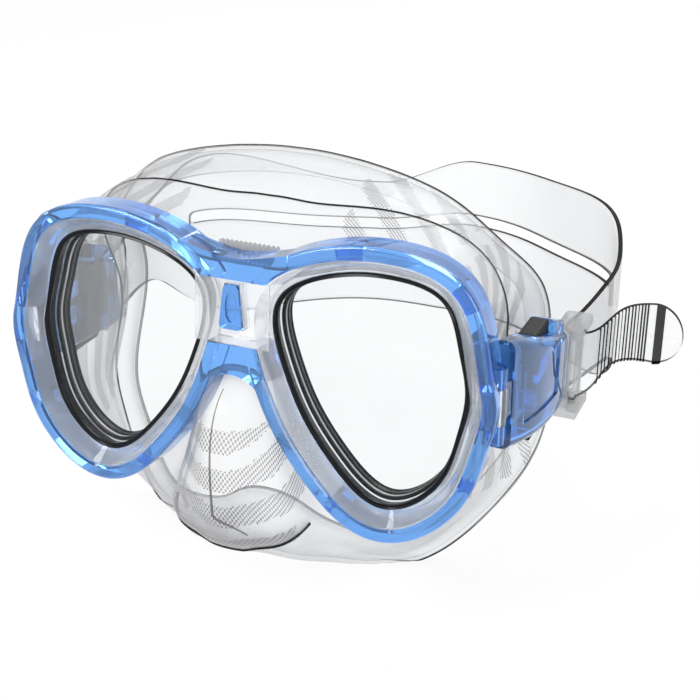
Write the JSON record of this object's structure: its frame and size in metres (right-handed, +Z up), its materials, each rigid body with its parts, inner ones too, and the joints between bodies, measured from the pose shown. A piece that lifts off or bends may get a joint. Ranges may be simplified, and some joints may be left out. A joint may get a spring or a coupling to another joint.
{
  "type": "diving mask",
  "caption": "Twin-lens diving mask with a blue frame, clear skirt with nose pocket, swivelling quick-release buckles and a split head strap.",
  "frame": {"origin": "middle of the bottom of the whole mask's box", "axes": "+X to the wearer's left, +Y from the front to the back of the head, +Z up"},
  "size_m": [0.236, 0.1926, 0.1283],
  "materials": {
    "frame_blue": "translucent polycarbonate, polished",
    "clear_plastic": "clear polycarbonate, polished",
    "lens_glass": "clear tempered glass",
    "seal_black": "black silicone, satin",
    "skirt_silicone": "clear silicone with matt bands",
    "strap_silicone": "clear silicone",
    "button_black": "black plastic, fine grain",
    "steel": "stainless spring strip"
  },
  "bodies": {
    "mask": {"front_frame": "frame_blue", "inner_bezel": "clear_plastic", "bridge_plug": "frame_blue", "skirt": "skirt_silicone", "strap": "strap_silicone", "lens_left": "lens_glass", "lens_seal_left": "seal_black", "hinge_pin_left": "clear_plastic", "lens_right": "lens_glass", "lens_seal_right": "seal_black", "hinge_pin_right": "clear_plastic"},
    "buckle_left": {"buckle_housing_left": "frame_blue", "buckle_back_plate_left": "clear_plastic", "strap_loop_left": "clear_plastic", "pawl_spring_left": "steel"},
    "upper_button_left": {"upper_button_left": "button_black"},
    "lower_button_left": {"lower_button_left": "button_black"},
    "pawl_left": {"pawl_left": "button_black"},
    "strap_roller_left": {"strap_roller_left": "clear_plastic"},
    "buckle_right": {"buckle_housing_right": "frame_blue", "buckle_back_plate_right": "clear_plastic", "strap_loop_right": "clear_plastic", "pawl_spring_right": "steel"},
    "upper_button_right": {"upper_button_right": "button_black"},
    "lower_button_right": {"lower_button_right": "button_black"},
    "pawl_right": {"pawl_right": "button_black"},
    "strap_roller_right": {"strap_roller_right": "clear_plastic"}
  },
  "joints": [
    {"name": "buckle_swivel_left", "type": "hinge", "parent": "mask", "child": "buckle_left", "pos_m": [0.0772, -0.07069, 0.0728], "axis": [0, 0, -1], "range_deg": [0, 35], "deforming": ["strap"]},
    {"name": "upper_button_press_left", "type": "slide", "parent": "buckle_left", "child": "upper_button_left", "axis": [0, 0, -1], "range_m": [0, 0.0018], "stiffness_N_per_m": 400, "springref_m": -0.002},
    {"name": "lower_button_press_left", "type": "slide", "parent": "buckle_left", "child": "lower_button_left", "axis": [0, 0, 1], "range_m": [0, 0.0018]},
    {"name": "pawl_release_left", "type": "slide", "parent": "buckle_left", "child": "pawl_left", "axis": [0, -1, 0], "range_m": [0, 0.0015], "deforming": ["pawl_spring_left"]},
    {"name": "roller_spin_left", "type": "hinge", "parent": "buckle_left", "child": "strap_roller_left", "pos_m": [0.086, -0.01569, 0.0638], "axis": [0, 0, 1], "continuous": true},
    {"name": "buckle_swivel_right", "type": "hinge", "parent": "mask", "child": "buckle_right", "pos_m": [-0.0772, -0.07069, 0.0728], "axis": [0, 0, 1], "range_deg": [0, 35], "deforming": ["strap"]},
    {"name": "upper_button_press_right", "type": "slide", "parent": "buckle_right", "child": "upper_button_right", "axis": [0, 0, -1], "range_m": [0, 0.0018], "stiffness_N_per_m": 400, "springref_m": -0.002},
    {"name": "lower_button_press_right", "type": "slide", "parent": "buckle_right", "child": "lower_button_right", "axis": [0, 0, 1], "range_m": [0, 0.0018]},
    {"name": "pawl_release_right", "type": "slide", "parent": "buckle_right", "child": "pawl_right", "axis": [0, -1, 0], "range_m": [0, 0.0015], "deforming": ["pawl_spring_right"]},
    {"name": "roller_spin_right", "type": "hinge", "parent": "buckle_right", "child": "strap_roller_right", "pos_m": [-0.086, -0.01569, 0.0638], "axis": [0, 0, 1], "continuous": true}
  ],
  "couplings": [
    {"joint": "lower_button_press_left", "follows": "upper_button_press_left", "ratio": 1},
    {"joint": "pawl_release_left", "follows": "upper_button_press_left", "ratio": 0.83333},
    {"joint": "lower_button_press_right", "follows": "upper_button_press_right", "ratio": 1},
    {"joint": "pawl_release_right", "follows": "upper_button_press_right", "ratio": 0.83333}
  ]
}
